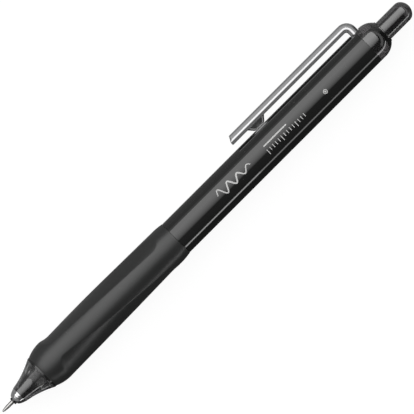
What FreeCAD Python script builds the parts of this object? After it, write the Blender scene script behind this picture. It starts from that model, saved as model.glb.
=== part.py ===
import FreeCAD, Part
import math
import os
import re
import Sketcher

# A retractable gel pen, lying along X with its writing point at the origin. +X runs to the push
# button, +Y is the clip's side and +Z is up. Lengths are millimetres. The point is out.

doc = FreeCAD.newDocument("gel_pen")

# ---- driving dimensions: alias, value, meaning -------------------------------------------------

DIMENSIONS = [
    ("tip_reach", 4.2, "from the writing point to the front of the nose ring"),
    ("ring_len", 2.0, "visible length of the nose ring"),
    ("nose_len", 7.75, "visible length of the nose cone"),
    ("rim_len", 0.55, "thickness of the barrel's front rim"),
    ("grip_len", 47.8, "length of the grip sleeve"),
    ("barrel_len", 69.1, "barrel from the grip to the cap"),
    ("cap_len", 5.5, "visible length of the rear cap"),
    ("button_reach", 9.15, "how far the button stands out with the point out"),
    ("seat_gap", 0.02, "gap between faces of pieces that come apart"),
    ("run_gap", 0.05, "radial gap of a close running fit"),
    ("slide_gap", 0.15, "radial gap of a loose sliding fit"),
    ("ball_radius", 0.25, "writing ball"),
    ("ball_gap", 0.015, "gap round the ball in its socket"),
    ("lip_wall", 0.08, "metal left round the ball at the point's lip"),
    ("ball_show", 0.32, "how far the ball and lip stand ahead of the cone's first edge"),
    ("ink_hole", 0.12, "radius of the ink hole behind the ball"),
    ("cone_radius", 0.55, "metal point where it leaves its holder"),
    ("cone_len", 3.6, "metal point that shows"),
    ("shank_radius", 0.62, "metal point inside its holder"),
    ("shank_len", 3.4, "depth of the metal point in its holder"),
    ("neck_radius", 1.0, "front neck of the tip holder"),
    ("neck_len", 4.2, "length of the tip holder's neck"),
    ("stem_radius", 1.3, "spring stem of the tip holder"),
    ("stem_len", 8.7, "length of the spring stem"),
    ("shoulder_len", 1.5, "thickness of the holder's spring shoulder"),
    ("feed_radius", 0.45, "ink channel through the tip holder"),
    ("plug_len", 5.0, "length of a plug in the refill tube"),
    ("plug_flange", 1.0, "thickness of the flange on the refill's back plug"),
    ("refill_radius", 3.0, "outside of the refill tube"),
    ("refill_wall", 0.5, "wall of the refill tube"),
    ("ink_len", 55.0, "length of gel ink"),
    ("follower_len", 6.0, "length of the grease follower"),
    ("vent_radius", 0.4, "air hole in the refill's back plug"),
    ("refill_gap", 0.7, "radial gap round the refill in the barrel"),
    ("barrel_wall", 1.1, "barrel wall under the grip"),
    ("barrel_step", 0.2, "step from the grip seat up to the barrel's outside"),
    ("rear_wall", 0.8, "barrel wall behind the grip"),
    ("rear_bore_start", 3.0, "where the wide bore starts, behind the grip"),
    ("thread_wall", 0.6, "wall of the nose spigot, and of the barrel round it"),
    ("thread_len", 6.4, "length of the nose spigot"),
    ("thread_end_gap", 0.3, "room past the end of the nose spigot"),
    ("grip_swell", 0.9, "grip crown above the barrel"),
    ("grip_rear_swell", 0.37, "back end of the grip above the barrel"),
    ("grip_front_len", 3.95, "length over which the grip swells out of the nose"),
    ("grip_front_bend", 10.5, "radius of the grip's front swell"),
    ("grip_rear_len", 3.4, "length of the rounded back end of the grip"),
    ("grip_rear_bend", 16.0, "radius of the rounded back end of the grip"),
    ("scoop_count", 3, "finger scoops round the grip"),
    ("scoop_front", 4.6, "front edge of the scoops, from the grip's front"),
    ("scoop_len", 39.4, "length of the scoops"),
    ("scoop_run_in", 2.4, "length over which a scoop reaches its depth"),
    ("scoop_depth", 0.5, "depth of a scoop at its front"),
    ("scoop_rear_depth", 0.25, "depth of a scoop at its back"),
    ("scoop_radius", 9.6, "how round a scoop's floor is at its front"),
    ("scoop_rear_radius", 12.0, "how round a scoop's floor is at its back"),
    ("scoop_start_angle", 12.0, "place of the first scoop at its front, in degrees from +Y"),
    ("scoop_twist", 38.0, "turn of the scoops from front to back, in degrees"),
    ("scoop_steps", 5, "stretches that the scoops' floor is lofted through"),
    ("scoop_over", 0.3, "how far the scoops' form stands clear of the grip at its ends"),
    ("ring_bore_gap", 0.12, "radial gap round the holder's neck in the nose ring"),
    ("ring_face", 0.35, "flat front face of the nose ring"),
    ("ring_round_len", 1.15, "length of the nose ring's rounded front"),
    ("ring_round", 1.35, "radius of the nose ring's rounded front"),
    ("ring_slope", 0.25, "rise of the nose ring behind its rounded front"),
    ("ring_spigot_wall", 0.3, "wall of the ring's spigot"),
    ("ring_spigot_len", 0.7, "length of the ring's spigot"),
    ("nose_radius", 2.35, "nose cone at its front"),
    ("nose_bend", 24.0, "hollow curve of the nose cone"),
    ("nose_web", 0.65, "thickness of the wall that the spring sits on"),
    ("spring_room", 0.65, "radial room for the spring in front of the ribs"),
    ("rib_start", 4.58, "front of the nose ribs, from the nose cone's front"),
    ("rib_len", 2.6, "length of the nose ribs"),
    ("rib_count", 24, "ribs inside the nose cone"),
    ("rib_width", 0.3, "width of a nose rib"),
    ("rib_radius", 2.6, "inner edge of the nose ribs"),
    ("wire_radius", 0.16, "spring wire"),
    ("spring_gap", 0.16, "radial gap between the spring and the stem"),
    ("spring_turns", 9, "turns of the spring"),
    ("spigot_len", 5.4, "length of the cap's spigot in the barrel"),
    ("cap_straight", 1.6, "straight length of the cap before its dome"),
    ("cap_bend", 4.75, "radius of the cap's dome"),
    ("rim_round", 0.2, "rounded edge round the button's hole"),
    ("button_radius", 2.8, "outside of the button"),
    ("button_wall", 0.9, "wall of the button"),
    ("button_top", 2.5, "thickness of the button's end"),
    ("button_corner", 2.0, "radius of the button's rounded edge"),
    ("button_crown", 3.4, "radius of the button's end"),
    ("flange_height", 0.5, "button flange beyond the button"),
    ("flange_len", 1.3, "length of the button flange"),
    ("retract_travel", 5.0, "how far the button comes out when the point goes in"),
    ("press_travel", 1.2, "how far the button goes in past its locked place"),
    ("stop_gap", 0.2, "room left at the end of a travel"),
    ("thrust_len", 5.0, "length of the thrust cam's head"),
    ("thrust_stem_len", 7.0, "depth of the thrust cam's stem in the button"),
    ("rotor_len", 7.0, "length of the rotor cam"),
    ("rotor_nose_len", 3.0, "length of the rotor's narrow nose"),
    ("cam_gap", 0.1, "gap between the two cams' teeth"),
    ("cam_step", 0.1, "cams below the button's radius"),
    ("tooth_count", 8, "teeth on each cam, and slots in the guide"),
    ("tooth_height", 1.2, "height of a cam tooth"),
    ("tooth_width", 1.5, "width of a cam tooth"),
    ("fin_width", 0.9, "width of a cam fin"),
    ("fin_count", 4, "fins on each cam"),
    ("fin_len", 3.0, "length of a cam fin"),
    ("guide_rib_width", 1.1, "width of a guide rib"),
    ("clip_len", 43.3, "clip from its free end to the outside of its leg"),
    ("clip_lead", 1.15, "how far the clip's leg reaches over the cap"),
    ("clip_gap", 1.5, "gap between the clip and the barrel"),
    ("clip_height", 2.4, "depth of the clip's folded section"),
    ("clip_width", 3.3, "width of the clip"),
    ("clip_sheet", 0.4, "metal sheet of the clip"),
    ("clip_slot", 1.4, "opening along the clip's underside"),
    ("clip_top_round", 1.1, "outside corner radius of the clip's outer edges"),
    ("clip_low_round", 0.85, "outside corner radius of the clip's inner edges"),
    ("clip_bend", 1.85, "bend of the clip at its leg, on the section's middle"),
    ("clip_root", 1.1, "depth of the clip's leg below the barrel's outside"),
    ("clip_swing_gap", 0.2, "room round the clip's leg in its slot"),
    ("slot_over", 1.0, "how far the slot's cut runs out of the barrel"),
    ("bump_start", 5.0, "front of the clip's bump, from the free end"),
    ("bump_len", 6.6, "length of the bump where it joins the clip"),
    ("bump_foot", 3.0, "length of the bump's foot at the barrel"),
    ("bump_width", 2.2, "width of the bump"),
    ("bump_gap", 0.05, "gap between the bump and the barrel"),
]

sheet = doc.addObject("Spreadsheet::Sheet", "Sizes")
for row, (alias, value, meaning) in enumerate(DIMENSIONS, start=1):
    sheet.set(f"A{row}", meaning)
    sheet.set(f"B{row}", str(value))
    sheet.setAlias(f"B{row}", alias)
doc.recompute()

# ---- places and fits worked out from them -------------------------------------------------------

DERIVED = {
    # stations along the pen
    "ring_rear": "tip_reach + ring_len",
    "nose_front": "ring_rear + seat_gap",
    "barrel_front": "ring_rear + nose_len",
    "nose_rear": "barrel_front - seat_gap",
    "grip_front": "barrel_front + rim_len",
    "grip_rear": "grip_front + grip_len",
    "barrel_rear": "grip_rear + barrel_len",
    "cap_front": "barrel_rear - spigot_len",
    "cap_rear": "barrel_rear + cap_len",
    "button_end": "cap_rear + button_reach",
    "thread_rear": "nose_rear + thread_len",
    # radii from the refill outwards
    "refill_bore": "refill_radius - refill_wall",
    "barrel_bore": "refill_radius + refill_gap",
    "seat_radius": "barrel_bore + barrel_wall",
    "barrel_radius": "seat_radius + barrel_step",
    "rear_bore": "barrel_radius - rear_wall",
    "thread_bore": "seat_radius - thread_wall",
    "nose_spigot": "thread_bore - run_gap",
    "nose_bore": "nose_spigot - thread_wall",
    # refill
    "neck_rear": "cone_len + neck_len",
    "stem_rear": "neck_rear + stem_len",
    "shoulder_rear": "stem_rear + shoulder_len",
    "holder_rear": "shoulder_rear + plug_len",
    "ink_rear": "holder_rear + ink_len",
    "follower_rear": "ink_rear + follower_len",
    # knock mechanism, measured from the cap
    "flange_rear": "cap_front - retract_travel - stop_gap",
    "button_front": "flange_rear - flange_len",
    "thrust_front": "button_front - thrust_len",
    "rotor_rear": "thrust_front - cam_gap",
    "rotor_front": "rotor_rear - rotor_len",
    "refill_rear": "rotor_front",
    "tube_rear": "refill_rear - plug_flange",
    "cam_radius": "button_radius - cam_step",
    "flange_radius": "max(button_radius + flange_height; refill_radius)",
    "guide_bore": "flange_radius + slide_gap",
    "guide_rib_bore": "cam_radius + slide_gap",
    "guide_rib_rear": "button_front - press_travel - stop_gap",
    "guide_rib_front": "refill_rear + retract_travel + stop_gap",
    "guide_front": "rotor_front - press_travel - stop_gap",
    "cap_bore": "button_radius + slide_gap",
    "button_bore": "button_radius - button_wall",
    # clip
    "clip_rear": "barrel_rear + clip_lead",
    "clip_front": "clip_rear - clip_len",
    "clip_under": "barrel_radius + clip_gap",
    "clip_outer": "clip_under + clip_height",
    "clip_middle": "clip_under + clip_height / 2",
    "clip_leg_middle": "clip_rear - clip_height / 2",
    "clip_foot": "barrel_radius - clip_root",
    # nose inside
    "ring_bore": "neck_radius + ring_bore_gap",
    "stem_bore": "stem_radius + run_gap * 2",
    "ring_spigot": "stem_bore + ring_spigot_wall",
    "ring_spigot_rear": "ring_rear + ring_spigot_len",
    "spring_seat": "ring_spigot_rear + seat_gap + nose_web",
    "spring_hole": "stem_radius + spring_room",
    "rib_front": "nose_front + rib_start",
    "rib_rear": "rib_front + rib_len",
    "rib_wall": "rib_radius + slide_gap",
}


def formula(text):
    """Writes a formula with the sheet's aliases in full and the derived names worked out."""
    def swap(match):
        word = match.group(0)
        if word in DERIVED:
            return "(" + formula(DERIVED[word]) + ")"
        if any(word == alias for alias, _, _ in DIMENSIONS):
            return "Sizes." + word
        return word
    return re.sub(r"[a-z_]+", swap, text)


def value(text):
    """The number that a formula gives with the sheet's present values."""
    return float(sheet.evalExpression(formula(text)))


# ---- helpers for sketches and features ----------------------------------------------------------

def new_body(label):
    body = doc.addObject("PartDesign::Body", label)
    body.Label = label
    return body


def origin_feature(body, role):
    return [item for item in body.Origin.OriginFeatures if item.Role == role][0]


def new_sketch(body, name, plane, offset="0", turn="0"):
    """A sketch on one of the body's own planes, moved along its normal and turned about the pen."""
    sketch = body.newObject("Sketcher::SketchObject", name)
    sketch.AttachmentSupport = (origin_feature(body, plane), [""])
    sketch.MapMode = "FlatFace"
    if offset != "0":
        sketch.setExpression(".AttachmentOffset.Base.z", formula(offset))
    if turn != "0":
        sketch.AttachmentOffset = FreeCAD.Placement(
            FreeCAD.Vector(), FreeCAD.Rotation(FreeCAD.Vector(1, 0, 0), value(turn)))
        sketch.setExpression(".AttachmentOffset.Rotation.Angle", formula(turn))
    return sketch


def pin_down(sketch, geometry, end, along, across):
    """Ties one end of a line or arc to formulas for its two coordinates."""
    for kind, axis, text in (("DistanceX", -2, along), ("DistanceY", -1, across)):
        if text == "0":
            sketch.addConstraint(Sketcher.Constraint("PointOnObject", geometry, end, axis))
        else:
            constraint = Sketcher.Constraint(kind, -1, 1, geometry, end, value(text))
            number = sketch.addConstraint(constraint)
            sketch.setExpression(f"Constraints[{number}]", formula(text))


def arc_between(start, finish, radius, side):
    """Circle arc through two points; side is 1 for a centre on the left of the way, -1 right."""
    chord = finish - start
    half = chord.Length / 2
    left = FreeCAD.Vector(-chord.y, chord.x, 0).normalize()
    centre = (start + finish) / 2 + left * side * math.sqrt(radius ** 2 - half ** 2)
    first, last = (start, finish) if side > 0 else (finish, start)
    circle = Part.Circle(centre, FreeCAD.Vector(0, 0, 1), radius)
    return Part.ArcOfCircle(circle, circle.parameter(first), circle.parameter(last))


def draw_outline(sketch, corners, arcs=None, closed=True):
    """Lines and arcs through corners. arcs maps a corner's number to the (radius, side) after it."""
    arcs = arcs or {}
    points = [FreeCAD.Vector(value(along), value(across), 0) for along, across in corners]
    count = len(points) if closed else len(points) - 1
    ends = []
    for number in range(count):
        start = points[number]
        finish = points[(number + 1) % len(points)]
        if number in arcs:
            radius, side = arcs[number]
            geometry = sketch.addGeometry(arc_between(start, finish, value(radius), side), False)
            bound = sketch.addConstraint(Sketcher.Constraint("Radius", geometry, value(radius)))
            sketch.setExpression(f"Constraints[{bound}]", formula(radius))
            ends.append((geometry, 1, 2) if side > 0 else (geometry, 2, 1))
        else:
            geometry = sketch.addGeometry(Part.LineSegment(start, finish), False)
            ends.append((geometry, 1, 2))
    for number, (geometry, first, last) in enumerate(ends):
        pin_down(sketch, geometry, first, *corners[number])
        if closed or number + 1 < count:
            after, after_first, _ = ends[(number + 1) % len(ends)]
            sketch.addConstraint(Sketcher.Constraint("Coincident", geometry, last, after, after_first))
        else:
            pin_down(sketch, geometry, last, *corners[number + 1])


def revolve(body, name, corners, arcs=None):
    """Turns a closed outline of (place along the pen, radius) corners round the pen's axis."""
    sketch = new_sketch(body, name + "_outline", "XY_Plane")
    draw_outline(sketch, corners, arcs)
    turned = body.newObject("PartDesign::Revolution", name)
    turned.Profile = sketch
    turned.ReferenceAxis = (sketch, ["H_Axis"])
    turned.Angle = 360
    return turned


def pad(body, name, sketch, length, symmetric=False, backwards=False):
    grown = body.newObject("PartDesign::Pad", name)
    grown.Profile = sketch
    grown.SideType = "Symmetric" if symmetric else "One side"
    grown.Reversed = backwards
    grown.setExpression("Length", formula(length))
    return grown


def pocket(body, name, sketch, length):
    cut = body.newObject("PartDesign::Pocket", name)
    cut.Profile = sketch
    cut.SideType = "Symmetric"
    cut.setExpression("Length", formula(length))
    return cut


def ring_of(body, name, feature, count):
    """Repeats a feature evenly round the pen's axis."""
    pattern = body.newObject("PartDesign::PolarPattern", name)
    pattern.Originals = [feature]
    pattern.Axis = (origin_feature(body, "X_Axis"), [""])
    pattern.Angle = 360
    pattern.setExpression("Occurrences", formula(count))
    body.Tip = pattern
    return pattern


def box_corners(left, right, low, high):
    return [(left, low), (right, low), (right, high), (left, high)]


# ---- nose ---------------------------------------------------------------------------------------

def make_nose_ring():
    body = new_body("nose_ring")
    face = "ring_bore + ring_face"
    shoulder = "nose_radius - ring_slope"
    corners = [
        ("tip_reach", "ring_bore"),
        ("tip_reach", face),
        ("tip_reach + ring_round_len", shoulder),
        ("ring_rear", "nose_radius"),
        ("ring_rear", "ring_spigot"),
        ("ring_spigot_rear", "ring_spigot"),
        ("ring_spigot_rear", "stem_bore"),
        ("ring_rear", "stem_bore"),
        ("ring_rear", "ring_bore"),
    ]
    revolve(body, "ring", corners, {1: ("ring_round", -1)})
    return body


def make_nose_cone():
    body = new_body("nose_cone")
    corners = [
        ("nose_front", "ring_spigot + run_gap"),
        ("nose_front", "nose_radius"),
        ("nose_rear", "barrel_radius"),
        ("nose_rear", "nose_spigot"),
        ("thread_rear", "nose_spigot"),
        ("thread_rear", "nose_bore"),
        ("rib_rear", "nose_bore"),
        ("rib_front", "rib_wall"),
        ("spring_seat", "spring_hole"),
        ("spring_seat", "stem_bore"),
        ("spring_seat - nose_web", "stem_bore"),
        ("spring_seat - nose_web", "ring_spigot + run_gap"),
    ]
    revolve(body, "cone", corners, {1: ("nose_bend", 1)})
    sketch = new_sketch(body, "rib_outline", "XY_Plane")
    draw_outline(sketch, [
        ("rib_front", "rib_radius"),
        ("rib_rear", "rib_radius"),
        ("rib_rear", "nose_bore + slide_gap"),
        ("rib_front", "rib_wall + slide_gap"),
    ])
    rib = pad(body, "rib", sketch, "rib_width", symmetric=True)
    ring_of(body, "ribs", rib, "rib_count")
    return body


# ---- barrel and grip ----------------------------------------------------------------------------

def cut_clip_slot(body):
    """The mouth that the clip's leg drops into, shared by the barrel and the cap."""
    sketch = new_sketch(body, "slot_outline", "XY_Plane")
    draw_outline(sketch, box_corners(
        "clip_rear - clip_height - clip_swing_gap",
        "clip_rear + clip_swing_gap",
        "clip_foot - clip_swing_gap",
        "barrel_radius + slot_over",
    ))
    return pocket(body, "clip_slot_cut", sketch, "clip_width + clip_swing_gap")


def make_barrel():
    body = new_body("barrel")
    corners = [
        ("barrel_front", "thread_bore"),
        ("barrel_front", "barrel_radius"),
        ("grip_front", "barrel_radius"),
        ("grip_front", "seat_radius"),
        ("grip_rear", "seat_radius"),
        ("grip_rear", "barrel_radius"),
        ("barrel_rear", "barrel_radius"),
        ("barrel_rear", "rear_bore"),
        ("grip_rear + rear_bore_start", "rear_bore"),
        ("grip_rear", "barrel_bore"),
        ("thread_rear + thread_end_gap", "barrel_bore"),
        ("thread_rear + thread_end_gap", "thread_bore"),
    ]
    revolve(body, "tube", corners)
    cut_clip_slot(body)
    return body


def scoop_section(station, radius, depth, crown, turn):
    """Closed three-sided ring of shallow arcs, one arc for each finger, square to the pen."""
    sides = int(value("scoop_count"))
    reach = radius - (crown - depth)
    half = math.pi / sides
    corner = -reach * math.cos(half) + math.sqrt(radius ** 2 - (reach * math.sin(half)) ** 2)

    def spot(angle, distance):
        return FreeCAD.Vector(station, distance * math.cos(angle), distance * math.sin(angle))

    edges = []
    for side in range(sides):
        middle = math.radians(turn) + 2 * half * side
        edges.append(Part.Arc(
            spot(middle - half, corner),
            spot(middle, crown - depth),
            spot(middle + half, corner),
        ).toShape())
    return Part.Wire(edges)


def make_grip_sleeve():
    """A turned sleeve, cut back to a twisted three-sided form where the fingers lie."""
    crown = "barrel_radius + grip_swell"
    tail = "barrel_radius + grip_rear_swell"
    sleeve = doc.addObject("PartDesign::Body", "grip_blank")
    revolve(sleeve, "sleeve", [
        ("grip_front", "seat_radius"),
        ("grip_front", "barrel_radius"),
        ("grip_front + grip_front_len", crown),
        ("grip_rear - grip_rear_len", tail),
        ("grip_rear", "barrel_radius + run_gap"),
        ("grip_rear", "seat_radius"),
    ], {1: ("grip_front_bend", -1), 3: ("grip_rear_bend", -1)})

    front = value("grip_front + scoop_front")
    length = value("scoop_len")
    run_in = value("scoop_run_in")
    over = value("scoop_over")
    crown_front = value(crown)
    crown_rear = value(tail)
    wide = 2 * crown_front

    def section(place, lift):
        share = min(max(place / length, 0.0), 1.0)

        def between(first, last):
            return first + (last - first) * share
        return scoop_section(
            front + place,
            between(value("scoop_radius"), value("scoop_rear_radius")),
            between(value("scoop_depth"), value("scoop_rear_depth")) * (1 - lift) - over * lift,
            between(crown_front, crown_rear),
            value("scoop_start_angle") + value("scoop_twist") * place / length,
        )

    steps = int(value("scoop_steps"))
    body_places = [run_in + (length - 2 * run_in) * step / steps for step in range(steps + 1)]
    middle = Part.makeLoft([section(place, 0) for place in body_places], True, False)
    lead_in = Part.makeLoft([section(0, 1), section(run_in, 0)], True, True)
    lead_out = Part.makeLoft([section(length - run_in, 0), section(length, 1)], True, True)
    before = Part.makeCylinder(wide, value("scoop_front"), FreeCAD.Vector(value("grip_front"), 0, 0),
                               FreeCAD.Vector(1, 0, 0))
    after_start = front + length
    after = Part.makeCylinder(wide, value("grip_rear") - after_start,
                              FreeCAD.Vector(after_start, 0, 0), FreeCAD.Vector(1, 0, 0))
    form = doc.addObject("Part::Feature", "scoop_form")
    form.Shape = before.multiFuse([lead_in, middle, lead_out, after])
    grip = doc.addObject("Part::MultiCommon", "grip_sleeve")
    grip.Shapes = [sleeve, form]
    grip.Label = "grip_sleeve"
    return grip


# ---- refill -------------------------------------------------------------------------------------

def make_ball():
    ball = doc.addObject("Part::Sphere", "ball")
    ball.Label = "ball"
    ball.setExpression("Radius", formula("ball_radius"))
    ball.setExpression(".Placement.Base.x", formula("ball_radius"))
    return ball


def make_tip_cone():
    body = new_body("tip_cone")
    socket = "ball_radius + ball_gap"
    mouth = f"sqrt(({socket}) ^ 2 - (ball_show - ball_radius) ^ 2)"
    seat = f"ball_radius + sqrt(({socket}) ^ 2 - ink_hole ^ 2)"
    corners = [
        ("ball_show", mouth),
        ("ball_show", f"{mouth} + lip_wall"),
        ("cone_len", "cone_radius"),
        ("cone_len", "shank_radius"),
        ("cone_len + shank_len", "shank_radius"),
        ("cone_len + shank_len", "ink_hole"),
        (seat, "ink_hole"),
    ]
    revolve(body, "cone", corners, {6: (socket, 1)})
    return body


def make_tip_holder():
    body = new_body("tip_holder")
    corners = [
        ("cone_len", "shank_radius"),
        ("cone_len", "neck_radius"),
        ("neck_rear", "neck_radius"),
        ("neck_rear", "stem_radius"),
        ("stem_rear", "stem_radius"),
        ("stem_rear", "refill_radius"),
        ("shoulder_rear", "refill_radius"),
        ("shoulder_rear", "refill_bore"),
        ("holder_rear", "refill_bore"),
        ("holder_rear", "feed_radius"),
        ("cone_len + shank_len", "feed_radius"),
        ("cone_len + shank_len", "shank_radius"),
    ]
    revolve(body, "holder", corners)
    return body


def make_refill_tube():
    body = new_body("refill_tube")
    revolve(body, "tube", box_corners("shoulder_rear", "tube_rear", "refill_bore", "refill_radius"))
    return body


def make_fill(label, start, finish):
    """A plain plug of ink or grease that fills the tube from wall to wall."""
    plug = doc.addObject("Part::Cylinder", label)
    plug.Label = label
    plug.Placement.Rotation = FreeCAD.Rotation(FreeCAD.Vector(0, 1, 0), 90)
    plug.setExpression("Radius", formula("refill_bore"))
    plug.setExpression("Height", formula(f"{finish} - ({start})"))
    plug.setExpression(".Placement.Base.x", formula(start))
    return plug


def make_refill_plug():
    body = new_body("refill_plug")
    corners = [
        ("tube_rear - plug_len", "vent_radius"),
        ("tube_rear - plug_len", "refill_bore"),
        ("tube_rear", "refill_bore"),
        ("tube_rear", "refill_radius"),
        ("refill_rear", "refill_radius"),
        ("refill_rear", "vent_radius"),
    ]
    revolve(body, "plug", corners)
    return body


def make_return_spring():
    body = new_body("return_spring")
    sketch = new_sketch(body, "wire_section", "XY_Plane")
    circle = Part.Circle(FreeCAD.Vector(value("spring_seat + wire_radius + seat_gap"),
                                        value("stem_radius + spring_gap + wire_radius"), 0),
                         FreeCAD.Vector(0, 0, 1), value("wire_radius"))
    geometry = sketch.addGeometry(circle, False)
    radius = sketch.addConstraint(Sketcher.Constraint("Radius", geometry, value("wire_radius")))
    sketch.setExpression(f"Constraints[{radius}]", formula("wire_radius"))
    pin_down(sketch, geometry, 3, "spring_seat + wire_radius + seat_gap",
             "stem_radius + spring_gap + wire_radius")
    coil = body.newObject("PartDesign::AdditiveHelix", "coil")
    coil.Profile = sketch
    coil.ReferenceAxis = (sketch, ["H_Axis"])
    coil.Mode = "height-turns-angle"
    room = "stem_rear - spring_seat - 2 * wire_radius - 2 * seat_gap"
    coil.setExpression("Height", formula(room))
    coil.setExpression("Turns", formula("spring_turns"))
    return body


# ---- knock mechanism ----------------------------------------------------------------------------

def add_fins(body, start, length, low, high, width, count, name, turn="0"):
    """Straight fins or ribs along the pen, evenly round it, from radius low to radius high."""
    sketch = new_sketch(body, name + "_outline", "XY_Plane", turn=turn)
    draw_outline(sketch, box_corners(start, f"{start} + {length}", low, high))
    fin = pad(body, name, sketch, width, symmetric=True)
    return ring_of(body, name + "_ring", fin, count)


def tooth_corners(face, height, width):
    return [(face, f"-({width}) / 2"), (f"{face} - ({height})", "0"), (face, f"({width}) / 2")]


def make_rotor_cam():
    body = new_body("rotor_cam")
    nose = "rotor_front + rotor_nose_len"
    corners = [
        ("rotor_front", "vent_radius"),
        ("rotor_front", "refill_bore"),
        (nose, "refill_bore"),
        (nose, "cam_radius"),
        ("rotor_rear", "cam_radius"),
        ("rotor_rear", "vent_radius"),
    ]
    revolve(body, "rotor", corners)
    add_fins(body, nose, "fin_len", "cam_radius - slide_gap", "flange_radius", "fin_width",
             "fin_count", "fin")
    sketch = new_sketch(body, "tooth_gap_outline", "XZ_Plane", "-(vent_radius)")
    draw_outline(sketch, tooth_corners("rotor_rear + cam_gap", "tooth_height + 2 * cam_gap",
                                       "tooth_width + 2 * cam_gap"))
    gap = body.newObject("PartDesign::Pocket", "tooth_gap")
    gap.Profile = sketch
    gap.Reversed = False
    gap.setExpression("Length", formula("cam_radius"))
    ring_of(body, "tooth_gaps", gap, "tooth_count")
    return body


def make_thrust_cam():
    body = new_body("thrust_cam")
    corners = [
        ("thrust_front", "0"),
        ("thrust_front", "cam_radius"),
        ("button_front", "cam_radius"),
        ("button_front", "button_bore"),
        ("button_front + thrust_stem_len", "button_bore"),
        ("button_front + thrust_stem_len", "0"),
    ]
    revolve(body, "cam", corners)
    add_fins(body, "button_front - fin_len", "fin_len", "cam_radius - slide_gap", "flange_radius",
             "fin_width", "fin_count", "fin")
    sketch = new_sketch(body, "tooth_outline", "XZ_Plane", "-(vent_radius + cam_gap)")
    draw_outline(sketch, tooth_corners("thrust_front", "tooth_height", "tooth_width"))
    tooth = pad(body, "tooth", sketch, "cam_radius - vent_radius - slide_gap - cam_gap",
                backwards=True)
    ring_of(body, "teeth", tooth, "tooth_count")
    return body


def make_cam_guide():
    body = new_body("cam_guide")
    revolve(body, "sleeve", box_corners("guide_front", "cap_front", "guide_bore", "rear_bore"))
    add_fins(body, "guide_rib_front", "guide_rib_rear - guide_rib_front", "guide_rib_bore",
             "guide_bore + slide_gap", "guide_rib_width", "tooth_count", "rib",
             turn="180 / tooth_count")
    return body


def make_button():
    body = new_body("button")
    reach = "sqrt((button_crown - button_corner) ^ 2 - (button_radius - button_corner) ^ 2)"
    crown_centre = "(button_end - button_crown)"
    corner_centre = f"({crown_centre} + {reach})"
    share = "(button_crown / (button_crown - button_corner))"
    corners = [
        ("button_front", "button_bore"),
        ("button_front", "flange_radius"),
        ("flange_rear", "flange_radius"),
        ("flange_rear", "button_radius"),
        (corner_centre, "button_radius"),
        (f"{crown_centre} + {reach} * {share}", f"(button_radius - button_corner) * {share}"),
        ("button_end", "0"),
        ("button_end - button_top", "0"),
        ("button_end - button_top", "button_bore"),
    ]
    revolve(body, "shell", corners, {4: ("button_corner", -1), 5: ("button_crown", -1)})
    return body


def make_rear_cap():
    body = new_body("rear_cap")
    dome_start = "barrel_rear + cap_straight"
    mouth = "cap_bore + rim_round"
    corners = [
        ("cap_front", "cap_bore"),
        ("cap_front", "rear_bore"),
        ("barrel_rear", "rear_bore"),
        ("barrel_rear", "barrel_radius"),
        (dome_start, "barrel_radius"),
        ("cap_rear - rim_round / 2", mouth),
        ("cap_rear", "cap_bore"),
    ]
    revolve(body, "cap", corners, {4: ("cap_bend", -1)})
    cut_clip_slot(body)
    return body


# ---- clip ---------------------------------------------------------------------------------------

def clip_section(sketch):
    """Folded sheet: a box with rounded corners, open along the middle of its underside."""
    low, top = "clip_under", "clip_outer"
    side = "clip_width / 2"
    lip = "clip_slot / 2"
    high_in, low_in = "clip_top_round - clip_sheet", "clip_low_round - clip_sheet"
    outside = [
        (low, lip),
        (low, f"{side} - clip_low_round"),
        (f"{low} + clip_low_round", side),
        (f"{top} - clip_top_round", side),
        (top, f"{side} - clip_top_round"),
    ]
    inside = [
        (f"{top} - clip_sheet", f"{side} - clip_top_round"),
        (f"{top} - clip_top_round", f"{side} - clip_sheet"),
        (f"{low} + clip_low_round", f"{side} - clip_sheet"),
        (f"{low} + clip_sheet", f"{side} - clip_low_round"),
        (f"{low} + clip_sheet", lip),
    ]

    def mirrored(points):
        return [(along, f"-({across})") for along, across in reversed(points)]

    corners = outside + mirrored(outside) + mirrored(inside) + inside
    arcs = {
        1: ("clip_low_round", 1), 3: ("clip_top_round", 1),
        5: ("clip_top_round", 1), 7: ("clip_low_round", 1),
        11: (low_in, -1), 13: (high_in, -1),
        15: (high_in, -1), 17: (low_in, -1),
    }
    draw_outline(sketch, corners, arcs)


def make_clip():
    body = new_body("clip")
    section = new_sketch(body, "section", "YZ_Plane", "clip_front")
    clip_section(section)
    path = new_sketch(body, "path", "XY_Plane")
    draw_outline(path, [
        ("clip_front", "clip_middle"),
        ("clip_leg_middle - clip_bend", "clip_middle"),
        ("clip_leg_middle", "clip_middle - clip_bend"),
        ("clip_leg_middle", "clip_foot"),
    ], {1: ("clip_bend", -1)}, closed=False)
    fold = body.newObject("PartDesign::AdditivePipe", "fold")
    fold.Profile = section
    fold.Spine = (path, [""])
    sketch = new_sketch(body, "bump_outline", "XY_Plane")
    foot_start = "clip_front + bump_start + (bump_len - bump_foot) / 2"
    draw_outline(sketch, [
        ("clip_front + bump_start", "clip_under + clip_sheet"),
        ("clip_front + bump_start", "clip_under"),
        (foot_start, "barrel_radius + bump_gap"),
        (f"{foot_start} + bump_foot", "barrel_radius + bump_gap"),
        ("clip_front + bump_start + bump_len", "clip_under"),
        ("clip_front + bump_start + bump_len", "clip_under + clip_sheet"),
    ])
    pad(body, "bump", sketch, "bump_width", symmetric=True)
    return body


# ---- build, check and write ---------------------------------------------------------------------

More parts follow.
